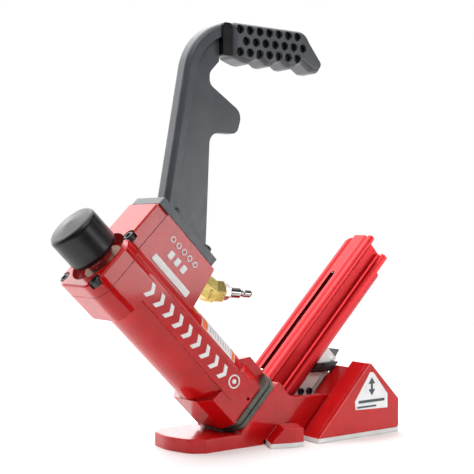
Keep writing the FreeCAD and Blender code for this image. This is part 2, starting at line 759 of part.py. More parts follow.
def make_shoe_frame():
    body = new_body("shoe_frame")
    side, wall, pads = size("shoe_side"), size("shoe_wall"), size("pad_thick")
    heel, peak = on_seat(-24.6), on_seat(39.6)
    walls = [(-49.4, pads), heel, peak + (4.0,), (7.0, 46.0, 9.0), (13.0, 42.5, 6.0),
             (61.5, 41.0, 1.5), (24.5, pads)]
    sole = [(-24.0, -side), (-90.6, -side), (-103.5, -29.0, 14.0), (-112.0, -2.0, 40.0),
            (-108.0, 27.0, 16.0), (-95.0, 36.5, 16.0), (-56.5, 36.5, 1.5), (-53.0, 18.0),
            (-24.0, 18.0)]
    column(body, "sole", WORLD, sole, 0.0, size("sole_thick"))
    dress(body, "Fillet", 1.2, flat_at(WORLD, 2, size("sole_thick")))
    slab(body, "walls", SIDE, walls, -side, side)
    flanks, clear = both_sides(side), size("sole_thick") + 1.5
    dress(body, "Fillet", 1.2,
          lambda edge: flanks(edge) and min(v.Point.z for v in edge.Vertexes) > clear)
    add_ears(body)
    inner = side - wall
    bay = [(14.0, 70.0), (14.0, 20.0, 5.0), (30.0, 17.0, 3.0), (80.0, 17.0), (80.0, 70.0)]
    slab(body, "bay", SIDE, bay, -inner, inner, cut=True)
    mag_seat = box_points(size("mag_near_end") - 0.3, size("mag_low") - 0.2, 90.0,
                          size("seat_rise") + 2)
    mag_side = size("mag_half") + 3.0
    slab(body, "magazine_seat", DRIVE_SIDE, mag_seat, -mag_side, mag_side, cut=True)
    bulb_seat = box_points(size("mag_near_end") - 0.3, size("mag_high") - 8.0, 90.0,
                           size("seat_rise") + 2)
    bulb_side = size("mag_half") + 4.8
    slab(body, "bulb_seat", DRIVE_SIDE, bulb_seat, -bulb_side, bulb_side, cut=True)
    nose = box_points(-12.0, -25.0, size("mag_near_end"), size("seat_rise") + 2)
    slab(body, "nose_seat", DRIVE_SIDE, nose, -12.0, 12.0, cut=True)
    round_column(body, "bolt_holes", DRIVE, BASE_BOLTS, "3.2", BASE_BOLT_SEAT - 1,
                 size("seat_rise") + 1, cut=True)
    round_column(body, "bolt_wells", DRIVE, BASE_BOLTS, "5.6", -70.0, BASE_BOLT_SEAT,
                 cut=True)
    return body


def make_nose_guide():
    """The hardened steel nose that guides the driver to the cleat."""
    body = new_body("nose_guide")
    low, high = -12.0, size("seat_rise")
    column(body, "block", DRIVE, box_points(-12.0, -12.0, size("mag_near_end") - 0.3, 12.0),
           low, high)
    slab(body, "sole_plane", SIDE, box_points(-60.0, -40.0, 60.0, size("pad_thick")), -13.0,
         13.0, cut=True)
    half_wide = size("blade_wide") / 2 + 0.4
    half_thick = size("blade_thick") / 2 + 0.4
    column(body, "channel", DRIVE, box_points(-half_thick, -half_wide, half_thick, half_wide),
           low, high, cut=True)
    column(body, "feed", DRIVE, box_points(0, -size("track_half"), 12.0, size("track_half")),
           size("track_low"), size("track_high"), cut=True)
    return body


def seal_layer(label, low, high, inset):
    """One layer of the stack between the housing and the shoe, level with the sole."""
    body = new_body(label)
    side = size("seal_side") - inset
    back = -31.0 + inset
    plan = mirrored_outline([(back, 15.0), (-20.0, side, 9.0), (30.7 - inset, side),
                             (39.0 - inset, side - 11.0, 3.0)])
    column(body, "plan", DRIVE, plan, low, high)
    round_column(body, "eye", DRIVE, [(0, 0)], "Sizes.bumper_hole", low, high, cut=True)
    round_column(body, "holes", DRIVE, BASE_BOLTS, "3.2", low, high, cut=True)
    if (back + low) * ROOT_HALF < size("seal_floor"):
        floor = box_points(-90.0, 0.0, 0.0, size("seal_floor"))
        slab(body, "sole_trim", SIDE, floor, -size("seal_side") - 1, size("seal_side") + 1,
             cut=True)
    return body


def make_seals_below():
    """The green gaskets either side of a thin black plate."""
    seat, middle, top = size("seat_rise"), size("seal_low_high"), size("seal_top_low")
    return [seal_layer("shoe_gasket", seat, middle, 0.0),
            seal_layer("seal_plate", middle, top, 1.6),
            seal_layer("base_seal", top, size("barrel_low"), 0.8)]


def make_base_bolts():
    places = []
    for u, v in BASE_BOLTS:
        seat = Placement(from_drive(u, v, BASE_BOLT_SEAT), DRIVE.Rotation)
        places.append(seat.multiply(Placement(Vector(0, 0, 0), Rotation(Vector(1, 0, 0), 180))))
    return screw_set("base_bolts", screw_shape(5.2, 6.0, 3.0, 32.0), places)


def pad_plan(label, low_x, high_x, low_y, high_y, corner):
    body = new_body(label)
    column(body, "plan", WORLD, box_points(low_x, low_y, high_x, high_y, corner), 0.0,
           size("pad_thick"))
    dress(body, "Chamfer", 0.8, flat_at(WORLD, 2, 0.0))
    return body


def make_front_pads():
    pads = []
    for label, flank in (("front_pad_near", -1), ("front_pad_far", 1)):
        body = new_body(label)
        column(body, "plan", WORLD, ear_pad_plan(flank), 0.0, size("pad_thick"))
        dress(body, "Chamfer", 0.6, flat_at(WORLD, 2, 0.0))
        pads.append(body)
    return pads


# ---------------------------------------------------------------- magazine

def magazine_section():
    """Half of the extrusion's section: (across, rise), from the top to the bottom."""
    half, high, low = size("mag_half"), size("mag_high"), size("mag_low")
    return [(0.0, high), (8.0, high, 0.6), (10.0, high - 2.4, 0.8),
            (12.8, high - 0.2, 1.5), (half + 4.4, high - 0.2, 2.6),
            (half + 4.4, high - 5.6, 1.5), (7.4, high - 13.8, 1.5), (6.3, 16.4, 0.6),
            (7.8, 14.7, 0.5), (13.0, 16.4, 1.5), (half + 2.0, 14.6, 1.5),
            (half + 2.0, 9.0, 3.0), (half, 4.5, 1.5), (half - 1.5, low), (0.0, low)]


# The far corner of the open end is bevelled along this line, and the stop sits on it.
FAR_BEVEL = [(226.3, 19.5), (239.3, 7.7)]


def on_bevel(share, out=0.0):
    (u0, v0), (u1, v1) = FAR_BEVEL
    span = math.hypot(u1 - u0, v1 - v0)
    return (u0 + share * (u1 - u0) - out * (v1 - v0) / span,
            v0 + share * (v1 - v0) + out * (u1 - u0) / span)


def make_magazine():
    body = new_body("magazine")
    half_section = magazine_section()
    full = [(-rise, across) + tuple(rest) for across, rise, *rest in half_section]
    mirror = [(p[0], -p[1]) + tuple(p[2:]) for p in reversed(full[1:-1])]
    near, far = size("mag_near_end"), size("mag_far_end")
    column(body, "section", RUN, full + mirror, near, far)
    track = size("track_half")
    column(body, "track", RUN, box_points(-size("track_high"), -track, -size("track_low"),
                                          track), near, far, cut=True)
    slot = box_points(size("slot_near"), -size("slot_half"), size("slot_far"),
                      size("slot_half"), 2.0)
    column(body, "slot", DRIVE, slot, size("track_high") - 1, size("mag_high") + 1, cut=True)
    heel = box_points(size("mag_cut_end"), size("mag_low") - 1, far + 1, 9.5)
    span = size("mag_half") + 5
    slab(body, "cut_back", DRIVE_SIDE, heel, -span, span, cut=True)
    corner = [FAR_BEVEL[0], (far + 1, 19.5), FAR_BEVEL[1]]
    column(body, "far_bevel", DRIVE, corner, size("mag_high") - 16, size("mag_high") + 1,
           cut=True)
    return body


def make_end_stop():
    """The small block on the bevelled corner that keeps the pusher in."""
    body = new_body("end_stop")
    high = size("mag_high")
    block = [on_bevel(0.18), on_bevel(0.52), on_bevel(0.52, 2.2) + (0.8,),
             on_bevel(0.18, 2.2) + (0.8,)]
    column(body, "block", DRIVE, block, high - 5.4, high - 1.2)
    return body


def make_pusher():
    body = new_body("pusher")
    low, high = size("track_low") + 0.6, size("track_high") - 0.6
    half = size("track_half") - 0.6
    near = size("mag_near_end") + 1.0
    slab(body, "shoe", DRIVE_SIDE,
         [(near, low), (near + 40, low), (near + 40, high), (near, high)], -half, half)
    tab_half = size("slot_half") - 0.5
    tab = box_points(size("slot_near") + 1.5, high - 2, size("slot_near") + 8.0,
                     high + 7.4, 1.5)
    slab(body, "tab", DRIVE_SIDE, tab, -tab_half, tab_half)
    return body


def make_feed_spring():
    """The rolled constant-force spring that pulls the pusher forward."""
    run = size("mag_near_end") + 41.0 + 8.5
    rise = (size("track_low") + size("track_high")) / 2
    half = size("track_half") - 0.9
    body = new_body("feed_spring")
    sketch = new_sketch(body, DRIVE_SIDE, -half, "roll")
    draw_circles(sketch, [(run, rise)], "8.5")
    draw_circles(sketch, [(run, rise)], "3.5")
    pad(body, sketch, "%.6g" % (2 * half))
    return body


# ---------------------------------------------------------------- bracket, rail and lever

RAIL_ENDS = (31.0, 96.0)
BRACKET_ENDS = (46.0, 116.5)
SADDLE_LEVELS = (60.0, 69.0)
LEVER_PIVOT = (112.5, -8.0)
BRACKET_SCREWS = [(60.5, -1.2), (68.0, -9.2)]


def make_magazine_bracket():
    body = new_body("magazine_bracket")
    half, low = size("bracket_half"), size("bracket_low")
    near, far = BRACKET_ENDS
    slab(body, "outside", DRIVE_SIDE,
         [(near, low), (far, low), (far, size("mag_low")), (near, size("mag_low"))], -half, half)
    slab(body, "inside", DRIVE_SIDE,
         box_points(near - 1, low + 2.5, far + 1, size("mag_low") - 2.5, 1.0),
         -half + 2.5, half - 2.5, cut=True)
    holes = new_sketch(body, DRIVE_SIDE, -half - 1, "holes")
    draw_circles(holes, BRACKET_SCREWS, "1.5")
    draw_circles(holes, [LEVER_PIVOT], "2")
    pocket(body, holes, "%.6g" % (2 * half + 2))
    slab(body, "lever_way", DRIVE_SIDE, box_points(106.5, low - 1, far + 1, low + 4), -8.6, 8.6,
         cut=True)
    return body


def make_bracket_screws():
    """Button-head screws on both flanks of the bracket."""
    places = []
    for run, rise in BRACKET_SCREWS:
        for flank, turn in ((-1, 90), (1, -90)):
            seat = from_drive(run, flank * size("bracket_half"), rise)
            places.append(Placement(seat, DRIVE.Rotation.multiply(
                Rotation(Vector(1, 0, 0), turn))))
    return screw_set("bracket_screws", screw_shape(3.4, 2.6, 1.5, 2.4), places)


def make_foot_rail():
    body = new_body("foot_rail")
    near, far = RAIL_ENDS
    low, high = size("rail_low"), size("bracket_low")
    slab(body, "bar", DRIVE_SIDE,
         [(near, low), (far, low, 2.0), (far, high), (near, high)],
         -size("rail_half"), size("rail_half"))
    return body


def make_lever_saddle():
    """The black block astride the bracket, cut level above and below."""
    body = new_body("lever_saddle")
    low, half = size("bracket_low") - 1.5, size("bracket_half") + 3.5
    bottom, top = (level / ROOT_HALF for level in SADDLE_LEVELS)
    high = size("mag_low") - 0.2
    side = [(bottom - low, low), (top - low, low), (top - high, high), (bottom - high, high)]
    slab(body, "outside", DRIVE_SIDE, side, -half, half)
    inner = size("bracket_half")
    slab(body, "inside", DRIVE_SIDE,
         box_points(bottom - high - 1, size("bracket_low"), top - low + 1, high + 1),
         -inner, inner, cut=True)
    slab(body, "lever_way", DRIVE_SIDE,
         box_points(106.0, low - 1, top - low + 1, size("bracket_low") + 1), -8.8, 8.8, cut=True)
    for flank, name in ((-1, "near"), (1, "far")):
        near, far = sorted((flank * (half - 1.2), flank * (half + 1)))
        recess = new_sketch(body, DRIVE_SIDE, -far, "recess_" + name)
        draw_circles(recess, [(97.6, -3.2), (92.4, -9.0)], "1.6")
        pocket(body, recess, "%.6g" % (far - near))
    return body


def make_lever_pin():
    run, rise = LEVER_PIVOT
    half = size("bracket_half")
    body = new_body("lever_pin")
    sketch = new_sketch(body, DRIVE_SIDE, -half, "round")
    draw_circles(sketch, [(run, rise)], "2")
    pad(body, sketch, "%.6g" % (2 * half))
    return body


def make_lock_lever():
    run, rise = LEVER_PIVOT
    body = new_body("lock_lever")
    side = [(run - 3.5, rise - 2.0, 2.0), (run - 3.5, rise + 3.4, 2.0),
            (run + 6.0, rise + 6.2, 2.0), (run + 15.6, rise - 6.1, 1.0),
            (run + 3.9, rise - 7.6, 2.0)]
    half = size("bracket_half") - 3.5
    slab(body, "arm", DRIVE_SIDE, side, -half, half)
    sketch = new_sketch(body, DRIVE_SIDE, -half - 1, "eye")
    draw_circles(sketch, [(run, rise)], "2.05")
    pocket(body, sketch, "%.6g" % (2 * half + 2))
    return body


# ---------------------------------------------------------------- adjustable foot

def foot_outline(left_rise, crest, shoulder_drop=0.0):
    """The foot's side: sloped back face, crest, sloped front face, upright nose."""
    pads = size("pad_thick")
    back = pads - left_rise / ROOT_HALF
    top_x = (crest - left_rise) * ROOT_HALF
    top_z = (crest + left_rise) * ROOT_HALF
    front = size("foot_front")
    return [(back, pads), (front, pads, 3.0),
            (front, crest / ROOT_HALF - front, 1.0), (top_x, top_z, 2.0)]


def make_foot_body():
    body = new_body("foot_body")
    span, inner = size("shoe_half_span") - size("cheek_thick"), size("foot_inner")
    crest = size("foot_crest")
    neck = span - size("cheek_groove")
    slab(body, "blocks", SIDE, foot_outline(-12.2, crest), -neck, neck)
    slab(body, "necks", SIDE, foot_outline(-14.2, crest - 2.0), -span, span)
    clear = 200.0
    slab(body, "waist_back", DRIVE_SIDE, box_points(-clear, -17.6, clear, clear), -inner, inner,
         cut=True)
    slab(body, "waist_top", DRIVE_SIDE, box_points(crest - 5.5, -clear, clear, clear), -inner,
         inner, cut=True)
    slot = size("rail_half") + 0.6
    slab(body, "rail_slot", DRIVE_SIDE, box_points(-clear, -38.0, clear, clear), -slot, slot,
         cut=True)
    return body


def make_foot_cheeks():
    cheeks = []
    inner = size("shoe_half_span") - size("cheek_thick")
    for label, near, far in (("foot_cheek_near", -size("shoe_half_span"), -inner),
                             ("foot_cheek_far", inner, size("shoe_half_span"))):
        body = new_body(label)
        slab(body, "plate", SIDE, foot_outline(-12.0, size("foot_crest")), near, far)
        outside = near if near < 0 else far
        dress(body, "Chamfer", 0.7, flat_at(WORLD, 1, outside))
        cheeks.append(body)
    return cheeks


def make_foot_pads():
    inner, span = size("foot_inner"), size("shoe_half_span")
    low_x, high_x = size("foot_back") - 1.2, size("foot_front") + 0.6
    return [pad_plan("foot_pad_near", low_x, high_x, -span, -inner, 2.5),
            pad_plan("foot_pad_far", low_x, high_x, inner, span, 2.5)]


# ---------------------------------------------------------------- build and write

MAKERS = [
    make_housing, make_head_cover, make_head_gasket, make_ram_bushing, make_head_screws,
    make_striking_cap, make_ram_stem, make_firing_valve, make_valve_cage, make_ram_spring,
    make_sleeve, make_bumper, make_piston, make_driver_blade,
    make_handle_frame, make_handle_gasket, make_handle_screws, make_grip_sleeve,
    make_grip_core, make_brass_elbow, make_air_plug,
    make_shoe_frame, make_nose_guide, make_seals_below, make_base_bolts, make_front_pads,
    make_magazine, make_end_stop, make_pusher, make_feed_spring,
    make_magazine_bracket, make_bracket_screws, make_foot_rail, make_lever_saddle,
    make_lever_pin, make_lock_lever, make_foot_body, make_foot_cheeks, make_foot_pads,
]


def make_seals():
    valve_middle = size("ram_low") - size("valve_height") / 2
    piston_middle = size("piston_low") + size("piston_height") / 2
    return [ring("valve_seal", valve_middle, size("cage_bore") - size("fit_gap")),
            ring("piston_seal", piston_middle, size("sleeve_bore") - size("fit_gap"))]


def build_all():
    nodes = []
    for maker in MAKERS + [make_seals]:
        made = maker()
        nodes += made if isinstance(made, list) else [made]
    DOC.recompute()
    return nodes


def check_all(nodes):
    for item in DOC.Objects:
        if "Invalid" in item.State or "Error" in item.State:
            raise RuntimeError("failed feature: " + item.Label)
    for node in nodes:
        if node.Shape.isNull() or not node.Shape.isValid() or not node.Shape.Solids:
            raise RuntimeError("bad shape: " + node.Label)


def write_all(nodes):
    os.makedirs("parts", exist_ok=True)
    for node in nodes:
        node.Shape.exportStep("parts/" + node.Label + ".step")
        print("%-18s solids %d  volume %.0f" % (node.Label, len(node.Shape.Solids),
                                               node.Shape.Volume))


def main():
    nodes = build_all()
    check_all(nodes)
    write_all(nodes)


main()
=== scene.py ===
import math
import bmesh
import bpy
from mathutils import Matrix, Vector


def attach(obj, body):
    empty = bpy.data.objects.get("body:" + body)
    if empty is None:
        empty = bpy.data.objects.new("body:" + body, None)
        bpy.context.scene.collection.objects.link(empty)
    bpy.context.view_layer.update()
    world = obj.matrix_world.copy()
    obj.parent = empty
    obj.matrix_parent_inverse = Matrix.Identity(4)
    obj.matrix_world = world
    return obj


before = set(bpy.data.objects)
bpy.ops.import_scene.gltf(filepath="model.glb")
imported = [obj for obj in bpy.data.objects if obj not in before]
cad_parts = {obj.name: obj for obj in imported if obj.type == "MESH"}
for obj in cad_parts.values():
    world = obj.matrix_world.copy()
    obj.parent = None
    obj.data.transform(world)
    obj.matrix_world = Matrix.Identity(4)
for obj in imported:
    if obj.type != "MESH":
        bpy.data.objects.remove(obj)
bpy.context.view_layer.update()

# Places are in millimetres and change to metres in one spot, solid(). The tool leans
# 45 degrees: in the drive frame, rise runs up along the driver and run goes up along
# the magazine. The near side is the one with negative Y.
MM = 0.001
LEAN = math.radians(45)
WORLD = Matrix()
DRIVE = Matrix.Rotation(-LEAN, 4, "Y")

NEAR, FAR = -1, 1
BAND_FACE = 34.2      # flank of the raised band on the housing
BLOCK_FACE = 25.0     # flank of the valve block
FOOT_FACE = 66.0      # outer face of the adjustable foot
BARREL_RADIUS = 33.3
BARREL_SHIFT = 2.3    # run of the barrel's axis


# ---------------------------------------------------------------- materials

# Cosine between the rounded normal and the true one, on a flat and on an edge.
FLAT_DOT, EDGE_DOT = 0.994, 0.88

# Sockets of a Mix node for colour, whose names are the same for every type.
MIX_SHARE, MIX_FIRST, MIX_SECOND, MIX_RESULT = 0, 6, 7, 2


class Finish:
    """A Principled material with the nodes that colour, roughen and dent it."""

    def __init__(self, name, **uniform):
        self.material = bpy.data.materials.new(name)
        self.material.use_nodes = True
        self.tree = self.material.node_tree
        self.shader = self.tree.nodes["Principled BSDF"]
        for socket, value in uniform.items():
            self.shader.inputs[socket.replace("_", " ")].default_value = value
        self.place = self.node("TexCoord").outputs["Object"]
        self.normal = None

    def node(self, kind, **settings):
        node = self.tree.nodes.new("ShaderNode" + kind)
        for key, value in settings.items():
            setattr(node, key, value)
        return node

    def feed(self, node, **sockets):
        for socket, value in sockets.items():
            target = node.inputs[socket.replace("_", " ")]
            if isinstance(value, bpy.types.NodeSocket):
                self.tree.links.new(value, target)
            else:
                target.default_value = value
        return node

    def along(self, stretch, turn=0.0):
        """Object coordinates turned about Y, then stretched, for grain with a direction."""
        turned = self.feed(self.node("Mapping"), Vector=self.place, Rotation=(0, turn, 0))
        scaled = self.feed(self.node("Mapping"), Vector=turned.outputs[0], Scale=stretch)
        return scaled.outputs[0]

    def noise(self, spot, detail=3.0, place=None, seed=0.0):
        """Noise whose spots are about this many millimetres across."""
        shifted = self.feed(self.node("Mapping"), Vector=place or self.place,
                            Location=(seed, seed * 0.7, seed * 1.3))
        noise = self.feed(self.node("TexNoise"), Vector=shifted.outputs[0],
                          Scale=1.0 / (spot * MM), Detail=detail)
        return noise.outputs["Fac"]

    def scale(self, value, low, high, to_low=0.0, to_high=1.0):
        node = self.feed(self.node("MapRange"), Value=value)
        for index, bound in enumerate((low, high, to_low, to_high), start=1):
            node.inputs[index].default_value = bound
        return node.outputs[0]

    def mix(self, share, first, second):
        node = self.node("Mix", data_type="RGBA")
        for index, value in ((MIX_SHARE, share), (MIX_FIRST, first), (MIX_SECOND, second)):
            if isinstance(value, bpy.types.NodeSocket):
                self.tree.links.new(value, node.inputs[index])
            else:
                node.inputs[index].default_value = value
        return node.outputs[MIX_RESULT]

    def vary(self, noise, low, high):
        """A measure that drifts between two values over the noise's usual span."""
        return self.scale(noise, 0.3, 0.7, low, high)

    def blend(self, noise, first, second):
        """A colour that drifts from one to the other, in clearer clouds than vary."""
        return self.mix(self.scale(noise, 0.35, 0.65), first, second)

    def paint_edge_highlight(self, edge, amount, tone, highlight_colour):
        """A colour that goes part of the way to another on the edges: a painted highlight
        along them.
        """
        return self.mix(self.scale(edge, 0.0, 1.0, 0.0, amount), tone, highlight_colour)

    def edges(self, width, soften=True):
        """Where the edges are, from 0 to 1. It also rounds their shading if asked."""
        bevel = self.feed(self.node("Bevel", samples=6), Radius=width * MM)
        if soften:
            self.normal = bevel.outputs[0]
        geometry = self.node("NewGeometry")
        dot = self.node("VectorMath", operation="DOT_PRODUCT")
        self.tree.links.new(bevel.outputs[0], dot.inputs[0])
        self.tree.links.new(geometry.outputs["Normal"], dot.inputs[1])
        return self.scale(dot.outputs["Value"], FLAT_DOT, EDGE_DOT)

    def dent(self, height, depth):
        """Bump of this many millimetres, on top of what came before."""
        bump = self.feed(self.node("Bump"), Height=height, Distance=depth * MM,
                         Strength=1.0)
        if self.normal is not None:
            self.tree.links.new(self.normal, bump.inputs["Normal"])
        self.normal = bump.outputs[0]

    def done(self, colour, roughness, **extra):
        self.feed(self.shader, Base_Color=colour, Roughness=roughness, **extra)
        if self.normal is not None:
            self.tree.links.new(self.normal, self.shader.inputs["Normal"])
        return self.material


def rgb(red, green, blue):
    return (red, green, blue, 1.0)


RED_DEEP = rgb(0.48, 0.002, 0.003)
RED_BRIGHT = rgb(0.57, 0.004, 0.006)
# Pale red laid on the edges of the red finishes: a painted highlight.
RED_EDGE_HIGHLIGHT = rgb(0.80, 0.22, 0.22)


def paler(colour, gain, lift=0.02):
    """A lighter colour: dust on the rubber's scuffs, and a painted highlight on edges
    elsewhere.
    """
    return tuple(min(1.0, c * gain + lift) for c in colour[:3]) + (1.0,)


def powder_coat():
    """Gloss red powder coat over a casting: gently uneven, with a painted highlight on the
    edges, broken up in specks like chipped wear.
    """
    f = Finish("red_paint", Coat_Weight=0.35, Coat_Roughness=0.06, IOR=1.45,
               Specular_IOR_Level=0.35)
    edge = f.edges(0.8)
    tone = f.blend(f.noise(26, 4), RED_DEEP, RED_BRIGHT)
    highlight_breakup = f.scale(f.noise(2.2, 5, seed=3.0), 0.42, 0.72)
    # Edge mask times speckle noise: a painted edge highlight, broken up like chipped wear.
    share = f.node("Math", operation="MULTIPLY")
    f.tree.links.new(edge, share.inputs[0])
    f.tree.links.new(highlight_breakup, share.inputs[1])
    f.dent(f.noise(9.0, 2, seed=1.0), 0.03)
    return f.done(f.mix(share.outputs[0], tone, RED_EDGE_HIGHLIGHT),
                  f.vary(f.noise(5.0, 3, seed=2.0), 0.16, 0.25))


def foot_coat():
    """Brushed semi-gloss red on the machined blocks of the adjustable foot."""
    f = Finish("foot_red", Coat_Weight=0.25, Coat_Roughness=0.10, IOR=1.45,
               Specular_IOR_Level=0.35)
    edge = f.edges(0.6)
    brushed = f.noise(1.0, 3, place=f.along((0.05, 1.0, 1.0)))
    tone = f.blend(f.noise(32, 3), rgb(0.52, 0.003, 0.004), rgb(0.61, 0.006, 0.008))
    f.dent(f.noise(7.0, 2, seed=1.0), 0.05)
    # The edges go paler: a painted highlight.
    return f.done(f.paint_edge_highlight(edge, 0.55, tone, RED_EDGE_HIGHLIGHT), f.vary(brushed, 0.20, 0.28))


def anodised():
    """Red anodised extrusion, drawn along the magazine, with die lines and a painted
    highlight on the edges.
    """
    f = Finish("red_anodised", IOR=1.45)
    edge = f.edges(0.5, soften=False)
    drawn = f.along((0.004, 1.0, 1.0), turn=LEAN)
    lines = f.noise(1.4, 2, place=drawn)
    bands = f.noise(6.0, 2, place=drawn, seed=2.0)
    tone = f.blend(bands, rgb(0.50, 0.010, 0.014), rgb(0.60, 0.020, 0.026))
    tone = f.mix(f.scale(lines, 0.5, 0.75, 0.0, 0.25), tone, rgb(0.85, 0.07, 0.08))
    # Bright pink on the edges: a painted highlight.
    tone = f.paint_edge_highlight(edge, 0.5, tone, rgb(0.98, 0.32, 0.30))
    return f.done(tone, f.vary(lines, 0.28, 0.34), Metallic=0.6)


def rubber(name, dark, light, low, high, depth=0.02):
    """Moulded rubber: fine pits, cloudy bloom and a few dusty scuffs."""
    f = Finish(name, IOR=1.5, Specular_IOR_Level=0.42)
    f.edges(0.6)
    tone = f.blend(f.noise(14, 4), dark, light)
    scuff = f.scale(f.noise(3.0, 6, place=f.along((0.35, 1.0, 1.0), LEAN), seed=4.0),
                    0.62, 0.80, 0.0, 0.35)
    f.dent(f.noise(0.6, 3, seed=1.0), depth)
    return f.done(f.mix(scuff, tone, paler(light, 2.2)),
                  f.vary(f.noise(6.0, 3, seed=2.0), low, high))


def moulded(name, dark, light, low, high, grain=0.8, depth=0.03, edge_width=0.5):
    """Satin coat or moulded plastic with a leathery grain and a slight painted highlight on
    the edges.
    """
    f = Finish(name, IOR=1.5)
    edge = f.edges(edge_width)
    # Paler on the edges: a painted highlight.
    tone = f.paint_edge_highlight(edge, 0.5, f.blend(f.noise(20, 4), dark, light), paler(light, 2.0))
    f.dent(f.noise(grain, 4, seed=1.0), depth)
    f.dent(f.noise(12.0, 2, seed=2.0), 0.05)
    return f.done(tone, f.vary(f.noise(4.0, 3, seed=3.0), low, high))


def bare_metal(name, dark, light, low, high, stretch=(1.0, 1.0, 1.0), turn=0.0,
               metallic=1.0):
    """Turned, brushed or plated metal: fine tool lines, stains and a painted highlight on
    the edges.
    """
    f = Finish(name)
    edge = f.edges(0.3, soften=False)
    lines = f.noise(1.0, 2, place=f.along(stretch, turn))
    tone = f.mix(f.scale(f.noise(9.0, 2, seed=1.0), 0.35, 0.8), light, dark)
    # Paler on the edges: a painted highlight.
    tone = f.paint_edge_highlight(edge, 0.6, tone, paler(light, 1.25, 0.05))
    return f.done(tone, f.vary(lines, low, high), Metallic=metallic)


def slick_pad():
    """White slippery plastic of the sole pads, a little see-through, scratched by use."""
    f = Finish("white_pad", IOR=1.5, Subsurface_Weight=0.15, Subsurface_Scale=0.004)
    f.edges(0.5)
    tone = f.mix(f.scale(f.noise(18, 4), 0.35, 0.7), rgb(0.84, 0.84, 0.83),
                 rgb(0.74, 0.73, 0.71))
    scratch = f.scale(f.noise(0.9, 4, place=f.along((0.03, 1.0, 1.0)), seed=2.0),
                      0.62, 0.75, 0.0, 0.4)
    f.dent(scratch, 0.03)
    return f.done(f.mix(scratch, tone, rgb(0.62, 0.60, 0.58)),
                  f.vary(f.noise(3.0, 3, seed=1.0), 0.35, 0.5))


def fibre_sheet():
    """Dark pressed-fibre gasket sheet."""
    f = Finish("gasket", IOR=1.45)
    f.edges(0.1)
    fibres = f.noise(0.6, 5, place=f.along((0.2, 1.0, 1.0), LEAN))
    tone = f.blend(fibres, rgb(0.05, 0.042, 0.036), rgb(0.13, 0.11, 0.095))
    f.dent(fibres, 0.04)
    return f.done(tone, f.vary(fibres, 0.7, 0.9))


def printed(name, ink, grain=0.35):
    """Printed vinyl: a faint grain in the film and a slightly uneven ink."""
    f = Finish(name, IOR=1.5, Coat_Weight=0.2, Coat_Roughness=0.2)
    shade = tuple(c * 0.90 for c in ink[:3]) + (1.0,)
    f.dent(f.noise(0.4, 2), 0.004)
    return f.done(f.mix(f.scale(f.noise(7.0, 4, seed=1.0), 0.4, 0.75), ink, shade),
                  f.vary(f.noise(1.5, 2, seed=2.0), grain, grain + 0.12))


def clear_plastic():
    """Clear plastic that is a little wavy and unevenly polished."""
    f = Finish("clear_strip", IOR=1.47, Transmission_Weight=0.85)
    edge = f.edges(0.3)
    f.dent(f.noise(4.0, 2), 0.03)
    # Whiter on the edges: a painted highlight.
    return f.done(f.mix(edge, rgb(0.95, 0.96, 0.96), rgb(1.0, 1.0, 1.0)),
                  f.vary(f.noise(3.0, 3, seed=1.0), 0.06, 0.22))


def make_finishes():
    """A material for each slot of the record, by the slot's name, and one plating."""
    round_turn = (1.0, 1.0, 0.12)
    return {
        "red_paint": powder_coat(),
        "foot_red": foot_coat(),
        "red_anodised": anodised(),
        "cap_rubber": rubber("cap_rubber", rgb(0.005, 0.005, 0.006),
                             rgb(0.010, 0.010, 0.011), 0.30, 0.38),
        "seal_rubber": rubber("seal_rubber", rgb(0.03, 0.03, 0.03),
                              rgb(0.05, 0.05, 0.05), 0.55, 0.7),
        "seal_green": rubber("seal_green", rgb(0.060, 0.066, 0.052),
                             rgb(0.115, 0.122, 0.100), 0.20, 0.32, 0.01),
        "gasket": fibre_sheet(),
        "handle_black": moulded("handle_black", rgb(0.080, 0.090, 0.102),
                                rgb(0.098, 0.109, 0.122), 0.30, 0.38, 0.7, 0.01, 0.7),
        "grip_plastic": moulded("grip_plastic", rgb(0.100, 0.108, 0.118),
                                rgb(0.125, 0.134, 0.146), 0.32, 0.40, 0.5, 0.02, 0.7),
        "black_plastic": moulded("black_plastic", rgb(0.006, 0.006, 0.007),
                                 rgb(0.013, 0.013, 0.014), 0.32, 0.42),
        "black_steel": bare_metal("black_steel", rgb(0.018, 0.018, 0.019),
                                  rgb(0.05, 0.05, 0.052), 0.26, 0.38, metallic=0.6),
        "steel": bare_metal("steel", rgb(0.46, 0.46, 0.45), rgb(0.66, 0.66, 0.65),
                            0.24, 0.36, (0.05, 1.0, 1.0), LEAN),
        "alloy": bare_metal("alloy", rgb(0.58, 0.58, 0.60), rgb(0.74, 0.74, 0.76),
                            0.24, 0.36, (0.06, 1.0, 1.0), -LEAN),
        "nickel": bare_metal("nickel", rgb(0.34, 0.32, 0.31), rgb(0.48, 0.46, 0.45),
                             0.10, 0.18, round_turn),
        "brass": bare_metal("brass", rgb(0.56, 0.42, 0.10), rgb(0.72, 0.57, 0.19),
                            0.20, 0.32, round_turn, metallic=0.85),
        "bronze": bare_metal("bronze", rgb(0.13, 0.06, 0.04), rgb(0.22, 0.11, 0.07),
                             0.36, 0.5, round_turn),
        "white_pad": slick_pad(),
        "plated": bare_metal("plated", rgb(0.78, 0.77, 0.74), rgb(0.90, 0.89, 0.86),
                             0.40, 0.52, (0.05, 1.0, 1.0), LEAN, metallic=0.1),
    }


def paint_frame(finishes):
    """Gives each CAD node the finish of its own slot. The bracket is plated."""
    for name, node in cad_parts.items():
        for holder in node.material_slots:
            slot = holder.material.name.split(".")[0]
            holder.material = finishes["plated" if name == "magazine_bracket" else slot]


# ---------------------------------------------------------------- meshes

